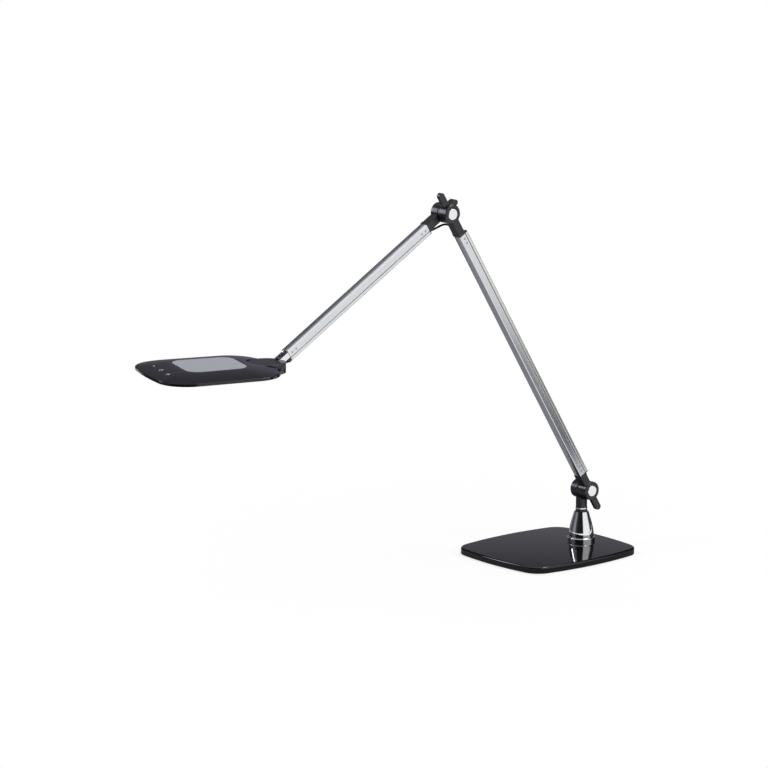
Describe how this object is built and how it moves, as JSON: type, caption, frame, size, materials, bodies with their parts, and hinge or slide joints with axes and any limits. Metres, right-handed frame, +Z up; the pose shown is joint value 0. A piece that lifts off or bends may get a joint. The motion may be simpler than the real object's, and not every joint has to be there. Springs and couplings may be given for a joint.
{
  "type": "led desk lamp",
  "caption": "Desk lamp with a weighted plate base, bright cone post, two hinged swing arms and a flat rounded light head that tilts and swings.",
  "frame": {"origin": "centre of the base's underside, on the table", "axes": "+Z up, -Y forward over the work (the way the arms reach), +X towards the side with the hinge caps"},
  "size_m": [0.2076, 0.7548, 0.52],
  "materials": {
    "foam_pad": "closed-cell foam",
    "gloss_black": "polished",
    "black_nylon": "satin",
    "chromed": "polished",
    "steel": "plain",
    "anodised": "satin anodised",
    "grey_plate": "matte anodised",
    "cable_black": "satin jacket",
    "white_mark": "printed",
    "opal": "opal",
    "clear": "clear",
    "board": "solder mask"
  },
  "bodies": {
    "base": {"base_pad": "foam_pad", "base_cover": "gloss_black", "base_weight": "steel", "post_screws": "steel", "dc_jack": "black_nylon", "dc_jack_pin": "steel", "base_wire": "cable_black", "post_cone": "chromed", "swivel_bush": "black_nylon"},
    "post": {"swivel_spindle": "steel", "spindle_nut": "steel", "spindle_washer": "steel", "stem_ring": "chromed", "post_wire": "cable_black", "stem_hub": "black_nylon", "lower_hinge_bolt": "steel", "lower_hinge_nut": "steel", "lower_hinge_spring_washer": "steel", "lower_hinge_friction_washer": "black_nylon"},
    "lower_arm": {"lower_arm_foot_hub": "black_nylon", "foot_cap": "chromed", "lower_arm_head_hub": "black_nylon", "head_cap": "chromed", "lower_arm_tube": "anodised", "lower_arm_strip": "anodised", "lower_arm_screws": "steel", "lower_arm_wire": "cable_black"},
    "upper_arm": {"upper_arm_hub": "black_nylon", "elbow_bolt": "steel", "elbow_nut": "steel", "elbow_spring_washer": "steel", "elbow_friction_washer": "black_nylon", "upper_arm_tube": "anodised", "upper_arm_strip": "anodised", "upper_arm_screws": "steel", "upper_arm_wire": "cable_black", "head_fork": "chromed", "strip_plug": "black_nylon", "elbow_cable": "cable_black"},
    "knuckle": {"turntable": "black_nylon", "tilt_pin": "steel", "swivel_bolt": "steel", "swivel_washer": "steel"},
    "head": {"head_frame": "gloss_black", "touch_marks": "white_mark", "head_shell": "gloss_black", "window_plate": "grey_plate", "diffuser": "opal", "light_guide": "clear", "reflector": "opal", "led_board": "board", "led_chips": "white_mark", "touch_board": "board", "head_screws": "steel"}
  },
  "joints": [
    {"name": "base_swivel", "type": "hinge", "parent": "base", "child": "post", "pos_m": [0, 0.0618, 0.01], "axis": [0, 0, 1], "range_deg": [-90, 90]},
    {"name": "lower_hinge", "type": "hinge", "parent": "post", "child": "lower_arm", "pos_m": [0, 0.0618, 0.082], "axis": [1, 0, 0], "range_deg": [-45, 15]},
    {"name": "elbow_hinge", "type": "hinge", "parent": "lower_arm", "child": "upper_arm", "pos_m": [0, -0.19069, 0.49081], "axis": [1, 0, 0], "range_deg": [-60, 25], "deforming": ["elbow_cable"]},
    {"name": "head_tilt", "type": "hinge", "parent": "upper_arm", "child": "knuckle", "pos_m": [0, -0.47172, 0.32461], "axis": [1, 0, 0], "range_deg": [-40, 30]},
    {"name": "head_swivel", "type": "hinge", "parent": "knuckle", "child": "head", "pos_m": [0, -0.48622, 0.32461], "axis": [0, 0, 1], "range_deg": [-37, 73]}
  ]
}
